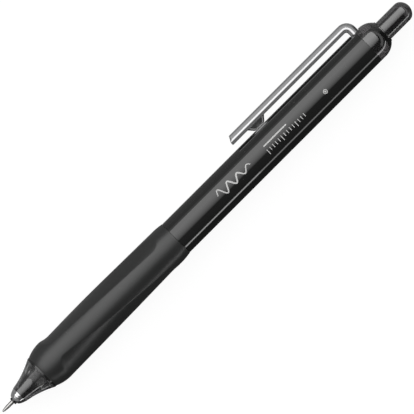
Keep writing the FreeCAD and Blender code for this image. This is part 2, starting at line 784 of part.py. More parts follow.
pieces = [
    make_ball(),
    make_tip_cone(),
    make_tip_holder(),
    make_nose_ring(),
    make_nose_cone(),
    make_return_spring(),
    make_refill_tube(),
    make_fill("ink_column", "holder_rear", "ink_rear"),
    make_fill("ink_follower", "ink_rear", "follower_rear"),
    make_refill_plug(),
    make_barrel(),
    make_grip_sleeve(),
    make_rotor_cam(),
    make_thrust_cam(),
    make_cam_guide(),
    make_button(),
    make_rear_cap(),
    make_clip(),
]
doc.recompute()

for item in doc.Objects:
    if "Invalid" in item.State or "Error" in item.State:
        raise RuntimeError(f"{item.Name} did not compute: {item.State}")
for piece in pieces:
    if piece.Shape.isNull() or not piece.Shape.isValid():
        raise RuntimeError(f"{piece.Label} has no valid shape")

os.makedirs("parts", exist_ok=True)
for piece in pieces:
    piece.Shape.exportStep(f"parts/{piece.Label}.step")
    box = piece.Shape.BoundBox
    print(f"{piece.Label}: {len(piece.Shape.Solids)} solid, {piece.Shape.Volume:.3f} mm3, "
          f"x {box.XMin:.2f} to {box.XMax:.2f}")
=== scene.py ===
# %% [markdown]
# # A retractable gel pen, piece by piece
#
# The pen lies along X with its writing point at the origin, its push button at the far end, its
# clip towards +Y and +Z up. The mechanical model says where every piece is and how it moves, so
# the first step loads it. Each later cell makes one visible piece round that frame, or one finish.

# %% Load the frame
import math

import bmesh
import bpy
from mathutils import Matrix, Vector


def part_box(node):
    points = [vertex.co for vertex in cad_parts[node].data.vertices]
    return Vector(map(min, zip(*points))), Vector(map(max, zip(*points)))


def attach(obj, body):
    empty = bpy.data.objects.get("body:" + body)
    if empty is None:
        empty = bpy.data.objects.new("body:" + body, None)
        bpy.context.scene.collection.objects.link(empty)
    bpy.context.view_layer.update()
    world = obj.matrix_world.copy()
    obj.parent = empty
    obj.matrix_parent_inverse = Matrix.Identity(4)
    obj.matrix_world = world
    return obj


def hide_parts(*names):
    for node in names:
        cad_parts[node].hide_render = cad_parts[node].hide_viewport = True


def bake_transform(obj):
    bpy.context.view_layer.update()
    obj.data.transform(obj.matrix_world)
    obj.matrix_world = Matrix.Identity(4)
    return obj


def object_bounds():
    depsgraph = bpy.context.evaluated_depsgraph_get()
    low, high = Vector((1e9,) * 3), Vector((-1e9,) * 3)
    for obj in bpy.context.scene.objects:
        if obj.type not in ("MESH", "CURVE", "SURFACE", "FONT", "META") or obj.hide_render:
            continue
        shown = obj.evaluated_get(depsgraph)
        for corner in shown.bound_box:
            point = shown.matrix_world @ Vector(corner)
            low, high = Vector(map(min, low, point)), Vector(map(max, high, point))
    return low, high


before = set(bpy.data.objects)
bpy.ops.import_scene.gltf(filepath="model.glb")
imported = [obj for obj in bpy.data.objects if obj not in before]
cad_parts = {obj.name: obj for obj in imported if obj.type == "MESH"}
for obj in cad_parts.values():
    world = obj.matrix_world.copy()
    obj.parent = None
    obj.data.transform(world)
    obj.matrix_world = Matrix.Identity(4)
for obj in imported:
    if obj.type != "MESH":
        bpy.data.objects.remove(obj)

cad_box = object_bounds()
print("pen, low and high corner in metres:", [tuple(corner) for corner in cad_box])

# %% [markdown]
# ## Places along the pen
#
# All sizes in this file are millimetres and are turned into metres only when a mesh is made. The
# places where one piece ends and the next begins are read from the frame, so that nothing has to
# be fitted by eye.

# %% Places read from the frame
MM = 0.001


def span(node):
    """Lowest and highest corner of a node of the frame, in millimetres."""
    low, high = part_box(node)
    return low / MM, high / MM


def ends_of(node):
    """Where a node begins and ends along the pen."""
    low, high = span(node)
    return low.x, high.x


seat_gap = 0.02
ring_front, ring_spigot_rear = ends_of("nose_ring")
nose_front, spigot_rear = ends_of("nose_cone")
barrel_front, barrel_rear = ends_of("barrel")
grip_front, grip_rear = ends_of("grip_sleeve")
cap_front, cap_rear = ends_of("rear_cap")
button_front, button_end = ends_of("button")
holder_front, holder_rear = ends_of("tip_holder")
spring_front, spring_rear = ends_of("return_spring")

barrel_radius = span("barrel")[1].z
nose_radius = span("nose_ring")[1].z
refill_radius = span("tip_holder")[1].z
seat_radius = barrel_radius - 0.2
print(f"barrel {barrel_front:.2f} to {barrel_rear:.2f} mm, radius {barrel_radius:.2f} mm")

# %% [markdown]
# ## Turned pieces
#
# Most of the pen is round about one axis: barrel, nose, cap, button, refill. A lathe's way suits
# them best. Half of the section is drawn as corners of (place along the pen, distance from its
# axis, rounding), the corners are rounded as a mould rounds them, and the outline is turned into
# rings of points. A Screw or Spin modifier could do the same, but rings made here can also carry
# ribs, and they give clean quads that light runs along smoothly.

# %% Rounding an outline
def rounded(corners, closed=True, steps=5):
    """Corners (along, out, rounding) become points, with an arc at each rounded corner."""
    points = []
    last = len(corners) - 1
    for number, (along, out, rounding) in enumerate(corners):
        here = Vector((along, out))
        if rounding <= 0 or (not closed and number in (0, last)):
            points.append(here)
            continue
        before = Vector(corners[number - 1][:2]) - here
        after = Vector(corners[(number + 1) % len(corners)][:2]) - here
        angle = before.angle(after)
        reach = rounding / math.tan(angle / 2)
        reach = min(reach, before.length * 0.49, after.length * 0.49)
        start = here + before.normalized() * reach
        finish = here + after.normalized() * reach
        for step in range(steps + 1):
            share = step / steps
            low = start.lerp(here, share)
            high = here.lerp(finish, share)
            points.append(low.lerp(high, share))
    return points


def bow(start, finish, radius, side, steps=24):
    """Points of an arc between two places, without its ends; side 1 bows out, -1 bows in."""
    start, finish = Vector(start), Vector(finish)
    half = (finish - start).length / 2
    across = (finish - start).orthogonal().normalized()
    if across.y < 0:
        across.negate()
    centre = (start + finish) / 2 - across * side * math.sqrt(radius ** 2 - half ** 2)
    first = start - centre
    turn = first.angle_signed(finish - centre)
    points = []
    for step in range(1, steps):
        spoke = first.copy()
        spoke.rotate(Matrix.Rotation(-turn * step / steps, 2))
        points.append(centre + spoke)
    return points


def bow_corners(start, finish, radius, side, steps=24):
    """The same arc as corners without rounding, to stand inside an outline."""
    return [(along, out, 0) for along, out in bow(start, finish, radius, side, steps)]


# %% From points to a mesh
SHARP = math.radians(32)


def finish_mesh(name, tool, merge=1e-8):
    """Closes a bmesh into an object with smooth faces and crisp corners."""
    bmesh.ops.remove_doubles(tool, verts=tool.verts, dist=merge)
    bmesh.ops.dissolve_degenerate(tool, edges=tool.edges, dist=merge)
    bmesh.ops.recalc_face_normals(tool, faces=tool.faces)
    mesh = bpy.data.meshes.new(name)
    tool.to_mesh(mesh)
    tool.free()
    for face in mesh.polygons:
        face.use_smooth = True
    mesh.set_sharp_from_angle(angle=SHARP)
    made = bpy.data.objects.new(name, mesh)
    bpy.context.scene.collection.objects.link(made)
    return made


def on_axis(along, out, angle):
    """A point of the pen in metres: angle 0 is towards +Y and a quarter turn is +Z."""
    return Vector((along, out * math.cos(angle), out * math.sin(angle))) * MM


def add_rings(tool, rings, closed):
    """Joins rings of equal length with quads; a ring of one point closes to a tip."""
    rows = [[tool.verts.new(point) for point in ring] for ring in rings]
    pairs = list(zip(rows, rows[1:]))
    if closed:
        pairs.append((rows[-1], rows[0]))
    for first, second in pairs:
        around = max(len(first), len(second))
        if len(first) == 1 and len(second) == 1:
            continue
        for step in range(around):
            following = (step + 1) % around
            if len(first) == 1:
                tool.faces.new((first[0], second[following], second[step]))
            elif len(second) == 1:
                tool.faces.new((first[step], first[following], second[0]))
            else:
                tool.faces.new((first[step], first[following], second[following], second[step]))


def cover_ends(tool, count):
    """Closes a sweep with a face over its first ring and one over its last, of count points each."""
    points = tool.verts[:]
    tool.faces.new(points[:count])
    tool.faces.new(points[-count:])


def turned(name, outline, angles=None, shape=None, closed=True):
    """Turns an outline about the pen's axis; shape(number, point, angle) may change a radius."""
    around = 192
    angles = angles or [math.tau * step / around for step in range(around)]
    rings = []
    for number, point in enumerate(outline):
        if point[1] < 1e-6 and shape is None:
            rings.append([Vector((point[0] * MM, 0, 0))])
            continue
        ring = []
        for angle in angles:
            out = shape(number, point, angle) if shape else point[1]
            ring.append(on_axis(point[0], out, angle))
        rings.append(ring)
    tool = bmesh.new()
    add_rings(tool, rings, closed)
    made = finish_mesh(name, tool)
    print(f"{name}: {len(made.data.vertices)} points")
    return made


# %% [markdown]
# ## Effects that several finishes share
#
# Real plastic and metal are never one even colour. The effects below are shader node groups, so
# that each finish can place one with its own numbers: a fine moulded grain, hairline scratches,
# the smudges that fingers leave, specks of dust, and the rings that a lathe leaves. They give out
# only masks and heights; the surface shader itself stays in each material.

# %% Making node groups
def new_group(name, inputs, outputs):
    """An empty shader group with number sockets, its nodes and its two ends."""
    group = bpy.data.node_groups.new(name, "ShaderNodeTree")
    for label, value in inputs:
        socket = group.interface.new_socket(label, in_out="INPUT", socket_type="NodeSocketFloat")
        socket.default_value = value
    for label in outputs:
        group.interface.new_socket(label, in_out="OUTPUT", socket_type="NodeSocketFloat")
    start = group.nodes.new("NodeGroupInput")
    end = group.nodes.new("NodeGroupOutput")
    return group, start, end


def add_math(tree, kind, first, second, clamp=False):
    """A Math node; each input is a socket or a number."""
    node = tree.nodes.new("ShaderNodeMath")
    node.operation = kind
    node.use_clamp = clamp
    for socket, source in zip(node.inputs, (first, second)):
        if isinstance(source, bpy.types.NodeSocket):
            tree.links.new(source, socket)
        else:
            socket.default_value = source
    return node.outputs[0]


def add_noise(tree, scale, detail, vector, rough=0.5, warp=0.0):
    """A Noise texture whose scale may be a socket or a number."""
    node = tree.nodes.new("ShaderNodeTexNoise")
    node.inputs["Detail"].default_value = detail
    node.inputs["Roughness"].default_value = rough
    node.inputs["Distortion"].default_value = warp
    if isinstance(scale, bpy.types.NodeSocket):
        tree.links.new(scale, node.inputs["Scale"])
    else:
        node.inputs["Scale"].default_value = scale
    tree.links.new(vector, node.inputs["Vector"])
    return node.outputs["Fac"]


def stretched_place(tree, stretch):
    """The object's own coordinates, scaled by a different amount each way."""
    place = tree.nodes.new("ShaderNodeTexCoord")
    mapping = tree.nodes.new("ShaderNodeMapping")
    mapping.inputs["Scale"].default_value = stretch
    tree.links.new(place.outputs["Object"], mapping.inputs["Vector"])
    return mapping.outputs["Vector"]


def above(tree, value, level, width):
    """A soft step: 0 below level and 1 above level + width."""
    node = tree.nodes.new("ShaderNodeMapRange")
    node.interpolation_type = "SMOOTHSTEP"
    tree.links.new(value, node.inputs["Value"])
    node.inputs["From Min"].default_value = level
    node.inputs["From Max"].default_value = level + width
    return node.outputs["Result"]


# %% The shared effects
def make_grain():
    group, start, end = new_group("moulded_grain", [("Scale", 3000.0), ("Depth", 1.0)],
                                  ["Height", "Mottle"])
    place = stretched_place(group, (1, 1, 1))
    fine = add_noise(group, start.outputs["Scale"], 3.0, place)
    broad = add_noise(group, 140.0, 4.0, place)
    group.links.new(add_math(group, "MULTIPLY", fine, start.outputs["Depth"]), end.inputs["Height"])
    group.links.new(broad, end.inputs["Mottle"])
    return group


def make_scratches():
    group, start, end = new_group("hairline_scratches", [("Scale", 900.0), ("Depth", 1.0)],
                                  ["Height", "Mask"])
    lines = []
    for stretch in ((0.05, 1.0, 1.0), (1.0, 0.12, 0.9), (0.35, 0.9, 0.2)):
        place = stretched_place(group, stretch)
        line = add_noise(group, start.outputs["Scale"], 1.0, place, warp=0.4)
        lines.append(above(group, line, 0.70, 0.05))
    both = add_math(group, "MAXIMUM", lines[0], lines[1])
    mask = add_math(group, "MAXIMUM", both, lines[2])
    depth = add_math(group, "MULTIPLY", mask, start.outputs["Depth"])
    group.links.new(add_math(group, "MULTIPLY", depth, -1.0), end.inputs["Height"])
    group.links.new(mask, end.inputs["Mask"])
    return group


def make_smudges():
    group, start, end = new_group("finger_smudges", [("Scale", 90.0), ("Amount", 1.0)], ["Mask"])
    place = stretched_place(group, (0.6, 1.0, 1.0))
    cloud = add_noise(group, start.outputs["Scale"], 5.0, place, rough=0.6, warp=0.8)
    patch = above(group, cloud, 0.42, 0.25)
    group.links.new(add_math(group, "MULTIPLY", patch, start.outputs["Amount"]),
                    end.inputs["Mask"])
    return group


def make_dust():
    group, start, end = new_group("dust_specks", [("Scale", 1400.0), ("Amount", 1.0)], ["Mask"])
    place = stretched_place(group, (1, 1, 1))
    speck = add_noise(group, start.outputs["Scale"], 0.0, place)
    mask = above(group, speck, 0.80, 0.04)
    group.links.new(add_math(group, "MULTIPLY", mask, start.outputs["Amount"]),
                    end.inputs["Mask"])
    return group


def make_lathe_rings():
    group, start, end = new_group("lathe_rings", [("Scale", 1500.0), ("Depth", 1.0)],
                                  ["Height", "Tone"])
    place = stretched_place(group, (1.0, 0.02, 0.02))
    rings = add_noise(group, start.outputs["Scale"], 2.0, place)
    group.links.new(add_math(group, "MULTIPLY", rings, start.outputs["Depth"]),
                    end.inputs["Height"])
    group.links.new(rings, end.inputs["Tone"])
    return group


GRAIN = make_grain()
SCRATCHES = make_scratches()
SMUDGES = make_smudges()
DUST = make_dust()
LATHE_RINGS = make_lathe_rings()
print("shared effects:", [group.name for group in bpy.data.node_groups])

# %% [markdown]
# ## Finishes
#
# Every finish starts from the Principled surface. A small helper makes one, places the shared
# effects, mixes its two base colours by a mask and sends one height to one Bump node.

# %% Helpers for finishes
def new_finish(name, **values):
    """A material with its Principled surface; values are set on the shader's own sockets."""
    material = bpy.data.materials.new(name)
    material.use_nodes = True
    tree = material.node_tree
    surface = tree.nodes["Principled BSDF"]
    for label, value in values.items():
        surface.inputs[label.replace("_", " ")].default_value = value
    return material, tree, surface


def place_group(tree, group, **values):
    node = tree.nodes.new("ShaderNodeGroup")
    node.node_tree = group
    for label, value in values.items():
        node.inputs[label].default_value = value
    return node


def mix_colours(tree, mask, first, second):
    """Two colours mixed by a mask; a colour may be a socket or three numbers."""
    node = tree.nodes.new("ShaderNodeMix")
    node.data_type = "RGBA"
    tree.links.new(mask, node.inputs[0])
    for socket, colour in ((node.inputs[6], first), (node.inputs[7], second)):
        if isinstance(colour, bpy.types.NodeSocket):
            tree.links.new(colour, socket)
        else:
            socket.default_value = (*colour, 1.0)
    return node.outputs[2]


def set_roughness(tree, surface, mask, low, high):
    node = tree.nodes.new("ShaderNodeMapRange")
    tree.links.new(mask, node.inputs["Value"])
    node.inputs["To Min"].default_value = low
    node.inputs["To Max"].default_value = high
    tree.links.new(node.outputs["Result"], surface.inputs["Roughness"])


def set_bump(tree, surface, height, distance, strength=1.0):
    """Bump whose distance is in millimetres."""
    node = tree.nodes.new("ShaderNodeBump")
    node.inputs["Distance"].default_value = distance * MM
    node.inputs["Strength"].default_value = strength
    tree.links.new(height, node.inputs["Height"])
    tree.links.new(node.outputs["Normal"], surface.inputs["Normal"])


# %% [markdown]
# ### Polished black barrel
#
# A gloss black moulding: nearly black plastic with a mirror-like skin. What makes it look real is
# in the skin, so the smudges and hairlines change its roughness a little and dust gives it specks.

# %% Barrel finish
def gloss_plastic_finish(name, colour, worn, smooth, dull, scratch_depth):
    material, tree, surface = new_finish(name, Specular_IOR_Level=1.0, IOR=1.5)
    scratches = place_group(tree, SCRATCHES, Scale=900.0, Depth=scratch_depth)
    smudges = place_group(tree, SMUDGES, Scale=90.0, Amount=1.0)
    dust = place_group(tree, DUST, Scale=1700.0, Amount=0.12)
    tone = mix_colours(tree, smudges.outputs["Mask"], colour, worn)
    dusty = mix_colours(tree, dust.outputs["Mask"], tone, (0.22, 0.22, 0.21))
    tree.links.new(dusty, surface.inputs["Base Color"])
    marks = add_math(tree, "MULTIPLY", scratches.outputs["Mask"], 0.6)
    rough = add_math(tree, "MAXIMUM", smudges.outputs["Mask"], marks)
    set_roughness(tree, surface, rough, smooth, dull)
    set_bump(tree, surface, scratches.outputs["Height"], 0.002)
    return material


barrel_finish = gloss_plastic_finish("barrel_black", (0.0135, 0.0139, 0.0136),
                                     (0.0165, 0.0168, 0.0165), 0.035, 0.07, 0.4)
holder_finish = gloss_plastic_finish("holder_black", (0.006, 0.006, 0.006),
                                     (0.011, 0.011, 0.011), 0.12, 0.2, 0.3)
print("gloss finishes:", barrel_finish.name, holder_finish.name)

# %% [markdown]
# ### Soft rubber of the grip
#
# Soft-touch rubber is matt because its skin has a very fine grain. It still carries a broad soft
# highlight, so its roughness is middling, and a little sheen lifts its edges.

# %% Grip finish
def rubber_finish():
    material, tree, surface = new_finish("grip_rubber", Specular_IOR_Level=0.80, IOR=1.5,
                                         Sheen_Weight=0.08, Sheen_Roughness=0.45)
    grain = place_group(tree, GRAIN, Scale=5200.0, Depth=1.0)
    smudges = place_group(tree, SMUDGES, Scale=70.0, Amount=0.8)
    dust = place_group(tree, DUST, Scale=2100.0, Amount=0.12)
    tone = mix_colours(tree, grain.outputs["Mottle"], (0.0200, 0.0208, 0.0204),
                       (0.0258, 0.0266, 0.0262))
    dusty = mix_colours(tree, dust.outputs["Mask"], tone, (0.16, 0.16, 0.155))
    tree.links.new(dusty, surface.inputs["Base Color"])
    set_roughness(tree, surface, smudges.outputs["Mask"], 0.36, 0.31)
    set_bump(tree, surface, grain.outputs["Height"], 0.006, 0.6)
    return material


grip_finish = rubber_finish()

# %% [markdown]
# ### Smoke-tinted clear plastic
#
# The nose, the cap and the button are clear plastic with a smoke tint. Light has to pass through
# them so that the spring and the holder show faintly, so Transmission Weight is full and the
# tint is in the base colour. A clear coat gives the second, brighter skin highlight that a thick
# polished wall shows. Over the ribs, up to just short of the barrel, the nose's tint is lighter:
# this is painted light, standing in for the light that the ribs catch there.

# %% Smoke finish
def smoke_finish(name, colour, deep, coat, painted_rib_light=None):
    """Smoke tint in two depths; the last argument is (start, end, colour) of a lighter stretch:
    painted light for the light that the ribs catch.
    """
    material, tree, surface = new_finish(name, Transmission_Weight=1.0, IOR=1.5,
                                         Specular_IOR_Level=1.0, Coat_Weight=1.0,
                                         Coat_Roughness=0.02, Coat_IOR=coat)
    grain = place_group(tree, GRAIN, Scale=2600.0, Depth=0.4)
    scratches = place_group(tree, SCRATCHES, Scale=1100.0, Depth=0.5)
    tone = mix_colours(tree, grain.outputs["Mottle"], colour, deep)
    # Painted light: a lighter tint over a stretch of the nose stands in for the light that the ribs
    # catch.
    if painted_rib_light:
        start, end, light = painted_rib_light
        place = tree.nodes.new("ShaderNodeTexCoord")
        split = tree.nodes.new("ShaderNodeSeparateXYZ")
        tree.links.new(place.outputs["Object"], split.inputs[0])
        begun = above(tree, split.outputs["X"], start * MM, 0.6 * MM)
        ended = above(tree, split.outputs["X"], end * MM, 0.3 * MM)
        tone = mix_colours(tree, add_math(tree, "SUBTRACT", begun, ended), tone, light)
    tree.links.new(tone, surface.inputs["Base Color"])
    set_roughness(tree, surface, scratches.outputs["Mask"], 0.015, 0.10)
    set_bump(tree, surface, scratches.outputs["Height"], 0.002)
    return material


# Where the nose's painted light begins and ends: a lighter tint over the ribbed stretch, for the
# light that the ribs catch.
painted_light_start = 10.9
painted_light_end = barrel_front - 0.5
nose_smoke_and_painted_light = smoke_finish("nose_smoke_and_painted_light", (0.085, 0.085, 0.086), (0.070, 0.070, 0.071), 1.9,
                          painted_rib_light=(painted_light_start, painted_light_end, (0.24, 0.24, 0.24)))
cap_smoke = smoke_finish("cap_smoke", (0.058, 0.054, 0.056), (0.047, 0.044, 0.046), 2.0)
button_smoke = smoke_finish("button_smoke", (0.040, 0.039, 0.040), (0.032, 0.031, 0.032), 2.0)

# %% [markdown]
# ### Bright metals
#
# The clip and the nose ring are bright plated, the writing point is turned nickel silver and the
# spring is drawn wire. All are fully metallic. They differ in tint, in how smooth they are and in
# which marks they carry.

# %% Metal finishes
def plated_finish(name, colour, shade, smooth, dull):
    material, tree, surface = new_finish(name, Metallic=1.0)
    scratches = place_group(tree, SCRATCHES, Scale=1300.0, Depth=0.6)
    smudges = place_group(tree, SMUDGES, Scale=120.0, Amount=0.8)
    tree.links.new(mix_colours(tree, smudges.outputs["Mask"], colour, shade),
                   surface.inputs["Base Color"])
    rough = add_math(tree, "MAXIMUM", smudges.outputs["Mask"], scratches.outputs["Mask"])
    set_roughness(tree, surface, rough, smooth, dull)
    set_bump(tree, surface, scratches.outputs["Height"], 0.002)
    return material


def turned_metal_finish(name, colour, shade, depth):
    material, tree, surface = new_finish(name, Metallic=1.0)
    rings = place_group(tree, LATHE_RINGS, Scale=2600.0, Depth=depth)
    smudges = place_group(tree, SMUDGES, Scale=300.0, Amount=0.7)
    tree.links.new(mix_colours(tree, rings.outputs["Tone"], colour, shade),
                   surface.inputs["Base Color"])
    set_roughness(tree, surface, smudges.outputs["Mask"], 0.16, 0.26)
    set_bump(tree, surface, rings.outputs["Height"], 0.004)
    return material


clip_finish = plated_finish("clip_chrome", (0.80, 0.80, 0.81), (0.74, 0.74, 0.75), 0.10, 0.15)
ring_finish = plated_finish("ring_chrome", (0.90, 0.90, 0.91), (0.80, 0.80, 0.81), 0.07, 0.13)
point_finish = turned_metal_finish("tip_metal", (0.66, 0.65, 0.64), (0.48, 0.47, 0.46), 0.8)
spring_finish = turned_metal_finish("spring_steel", (0.55, 0.55, 0.56), (0.42, 0.42, 0.43), 0.3)
ball_finish = turned_metal_finish("ball_carbide", (0.40, 0.40, 0.42), (0.32, 0.32, 0.34), 0.1)

# %% [markdown]
# ### Inner plastics, ink and print
#
# The pieces inside are plain mouldings. They get the same moulded grain with their own tints, so
# that they look right wherever the smoky plastic or an opened joint lets them show.

# %% Inner finishes
def plain_plastic_finish(name, colour, shade, rough, **values):
    material, tree, surface = new_finish(name, **values)
    grain = place_group(tree, GRAIN, Scale=3400.0, Depth=0.6)
    tree.links.new(mix_colours(tree, grain.outputs["Mottle"], colour, shade),
                   surface.inputs["Base Color"])
    set_roughness(tree, surface, grain.outputs["Mottle"], rough * 0.85, rough * 1.15)
    set_bump(tree, surface, grain.outputs["Height"], 0.004, 0.5)
    return material


white_finish = plain_plastic_finish("white_plastic", (0.80, 0.80, 0.77), (0.72, 0.72, 0.69), 0.4)
grey_finish = plain_plastic_finish("cam_grey", (0.26, 0.26, 0.27), (0.20, 0.20, 0.21), 0.4)
tube_finish = plain_plastic_finish("clear_tube", (0.92, 0.93, 0.94), (0.86, 0.88, 0.89), 0.12,
                                   Transmission_Weight=1.0, IOR=1.45)
ink_finish = plain_plastic_finish("gel_ink", (0.004, 0.004, 0.005), (0.008, 0.008, 0.010), 0.08)
grease_finish = plain_plastic_finish("grease", (0.80, 0.74, 0.52), (0.74, 0.68, 0.46), 0.15,
                                     Transmission_Weight=0.6, IOR=1.45)
print_finish = plain_plastic_finish("white_print", (0.80, 0.80, 0.79), (0.68, 0.68, 0.67), 0.5)


def paint(piece, material):
    """Gives a piece one material in all its slots."""
    slots = piece.data.materials
    if len(slots) == 0:
        slots.append(material)
    for number in range(len(slots)):
        slots[number] = material
    return piece


inner_finishes = {
    "cam_guide": holder_finish,
    "rotor_cam": white_finish,
    "thrust_cam": grey_finish,
    "refill_plug": white_finish,
    "refill_tube": tube_finish,
    "ink_column": ink_finish,
    "ink_follower": grease_finish,
}
for node, material in inner_finishes.items():
    paint(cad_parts[node], material)
print("inner pieces kept from the frame:", sorted(inner_finishes))

# %% [markdown]
# ## Barrel
#
# The barrel is one long tube. In front it has a thin rim that stops the grip, then a seat that the
# rubber lies on, and behind the grip it steps up to its full gloss diameter. Its back end has the
# mouth that the clip's leg drops into. The mouth is cut with a Boolean, as a real slot is milled
# through a round wall, because turning alone can't make it.

# %% Cutting a slot through a turned piece
clip_low, clip_high = span("clip")
clip_height = 2.4
clip_half_width = clip_high.z
slot_gap = 0.2


def cut_slot(piece):
    """Cuts the clip's mouth out of a piece."""
    left = clip_high.x - clip_height - slot_gap
    right = clip_high.x + slot_gap
    low = clip_low.y - slot_gap
    high = barrel_radius + 1
    side = clip_half_width + slot_gap / 2
    tool = bmesh.new()
    bmesh.ops.create_cube(tool, size=1.0)
    size = Vector((right - left, high - low, 2 * side)) * MM
    middle = Vector(((left + right) / 2, (low + high) / 2, 0)) * MM
    for point in tool.verts:
        point.co = Vector((point.co.x * size.x, point.co.y * size.y, point.co.z * size.z)) + middle
    cutter = finish_mesh("slot_cutter", tool)
    cut = piece.modifiers.new("slot", "BOOLEAN")
    cut.object = cutter
    cut.solver = "EXACT"
    bpy.context.view_layer.update()
    seen = piece.evaluated_get(bpy.context.evaluated_depsgraph_get())
    mesh = bpy.data.meshes.new_from_object(seen)
    piece.modifiers.clear()
    piece.data = mesh
    for face in mesh.polygons:
        face.use_smooth = True
    mesh.set_sharp_from_angle(angle=SHARP)
    bpy.data.objects.remove(cutter)
    return piece


# %% Barrel
# A ring of points just inside each rounded end keeps the long reflections straight.
edge_room = 0.4
barrel_bore = 3.7
rear_bore = 4.2
thread_bore = 4.2
barrel = turned("barrel_shell", rounded([
    (barrel_front, thread_bore, 0.05),
    (barrel_front, barrel_radius, 0.12),
    (grip_front, barrel_radius, 0.08),
    (grip_front, seat_radius, 0),
    (grip_rear, seat_radius, 0),
    (grip_rear, barrel_radius, 0.12),
    (grip_rear + edge_room, barrel_radius, 0),
    (barrel_rear - edge_room, barrel_radius, 0),
    (barrel_rear, barrel_radius, 0.04),
    (barrel_rear, rear_bore, 0.05),
    (grip_rear + 3.0, rear_bore, 0),
    (grip_rear, barrel_bore, 0),
    (spigot_rear + 0.3, barrel_bore, 0),
    (spigot_rear + 0.3, thread_bore, 0),
]))
cut_slot(barrel)
paint(barrel, barrel_finish)
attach(barrel, "body")
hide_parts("barrel")

# %% [markdown]
# ## Grip sleeve
#
# The grip is a soft sleeve that swells where the fingers hold it. Three shallow scoops lie round
# it, one for each finger, and they twist as they run back. The surface is worked out point by
# point: the sleeve's own radius, and the flatter arc of the nearest scoop, whichever is smaller.
# A soft minimum rounds the edge between the two, as rubber out of a mould does.

# %% The grip's shape
grip_crown = span("grip_sleeve")[1].z
grip_tail = barrel_radius + 0.37
grip_swell_end = grip_front + 3.95
grip_round_start = grip_rear - 3.4
scoop_start = grip_front + 4.33
scoop_length = 39.6
scoop_run_in = 2.8
scoop_turn = (math.radians(12), math.radians(50))
scoop_depth = (0.60, 0.30)
scoop_round = (9.6, 12.0)
scoop_softness = 0.06


def between(pair, share):
    return pair[0] + (pair[1] - pair[0]) * share


def ease(share):
    share = min(max(share, 0.0), 1.0)
    return share * share * (3 - 2 * share)


def soft_minimum(first, second, softness):
    share = min(max(0.5 + 0.5 * (second - first) / softness, 0.0), 1.0)
    return second + (first - second) * share - softness * share * (1 - share)


def scoop_out(along, angle, crown):
    """Distance from the axis to the floor of the nearest scoop."""
    share = (along - scoop_start) / scoop_length
    middle = between(scoop_turn, share)
    third = math.tau / 3
    off = (angle - middle + third / 2) % third - third / 2
    inside = min(along - scoop_start, scoop_start + scoop_length - along) / scoop_run_in
    sunk = math.sin(math.pi / 2 * min(max(inside, 0.0), 1.0))
    clear = max(0.0, -inside) + scoop_softness / 2
    radius = between(scoop_round, share)
    floor = crown - between(scoop_depth, share) * sunk + clear
    reach = radius - floor
    return -reach * math.cos(off) + math.sqrt(radius ** 2 - (reach * math.sin(off)) ** 2)


# %% Grip sleeve
swell_bow = 10.5
tail_bow = 16.0
swell = bow((grip_front, barrel_radius + 0.03), (grip_swell_end, grip_crown), swell_bow, 1, 14)
tail = bow((grip_round_start, grip_tail), (grip_rear, barrel_radius + 0.06), tail_bow, 1, 10)
outer = [(grip_front + 0.04, seat_radius + 0.02), (grip_front, barrel_radius)]
outer += swell + [(grip_swell_end, grip_crown)]
length_steps = 230
for step in range(1, length_steps):
    share = step / length_steps
    outer.append((grip_swell_end + (grip_round_start - grip_swell_end) * share,
                  grip_crown + (grip_tail - grip_crown) * share))
outer += [(grip_round_start, grip_tail)] + tail
outer += [(grip_rear - 0.03, barrel_radius + 0.10), (grip_rear, barrel_radius + 0.02)]
outer += [(grip_rear, seat_radius)]
sleeve_outline = outer + [(grip_front + 0.04, seat_radius)]


def grip_radius(number, point, angle):
    along, out = point
    if out <= barrel_radius + 0.01 or not scoop_start - 1 < along < scoop_start + scoop_length + 1:
        return out
    return min(out, soft_minimum(out, scoop_out(along, angle, out), scoop_softness))


grip_steps = 300
grip_angles = [math.tau * step / grip_steps for step in range(grip_steps)]
grip = turned("grip_rubber_sleeve", sleeve_outline, grip_angles, grip_radius)
grip_sharp = math.radians(50)
grip.data.set_sharp_from_angle(angle=grip_sharp)
paint(grip, grip_finish)
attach(grip, "body")
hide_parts("grip_sleeve")

# %% [markdown]
# ## Nose cone
#
# The nose is clear smoky plastic, so its inside shows and has to be right too. It flares in a
# hollow curve, is ribbed inside its wide end, and has a spigot that screws into the barrel. The
# ribs come from the ring angles: at a rib's angles the inner wall stands in, between them it
# doesn't.

# %% Nose cone
rib_count = 24
rib_front = nose_front + 4.58
rib_rear = rib_front + 2.6
rib_radius = 2.6
rib_wall = 2.75
nose_bore = 3.55
nose_spigot = 4.15
nose_rear = barrel_front - seat_gap
nose_bow = 24.0
spigot_hole = 1.75
web_front = nose_front + 0.7
web_rear = web_front + 0.65
stem_bore = 1.4
spring_hole = 1.95

rib_pitch = 360 / rib_count
rib_half = math.degrees(0.15 / 3.0)
rib_flank = 0.25
rib_angles = []
for rib in range(rib_count):
    middle = rib_pitch * rib
    for offset in (-rib_half - rib_flank, -rib_half, 0, rib_half, rib_half + rib_flank,
                   rib_pitch / 2):
        rib_angles.append(math.radians(middle + offset))

nose_outline = rounded([
    (nose_front, spigot_hole, 0),
    (nose_front, nose_radius, 0.06),
    *bow_corners((nose_front, nose_radius), (nose_rear, barrel_radius), nose_bow, -1),
    (nose_rear, barrel_radius - 0.02, 0.06),
    (nose_rear, nose_spigot, 0.05),
    (spigot_rear, nose_spigot, 0.15),
    (spigot_rear, nose_bore, 0.08),
])
rib_first = len(nose_outline)
nose_outline += [
    Vector((rib_rear, nose_bore)), Vector((rib_rear, nose_bore)),
    Vector((rib_front, rib_wall)), Vector((rib_front, rib_wall)),
    Vector((web_rear, spring_hole)), Vector((web_rear, stem_bore)),
    Vector((web_front, stem_bore)), Vector((web_front, spigot_hole)),
]


def ribbed(number, point, angle):
    pitch = math.tau / rib_count
    off = abs((angle + pitch / 2) % pitch - pitch / 2)
    if number in (rib_first + 1, rib_first + 2) and off <= math.radians(rib_half) + 1e-4:
        return rib_radius
    return point[1]


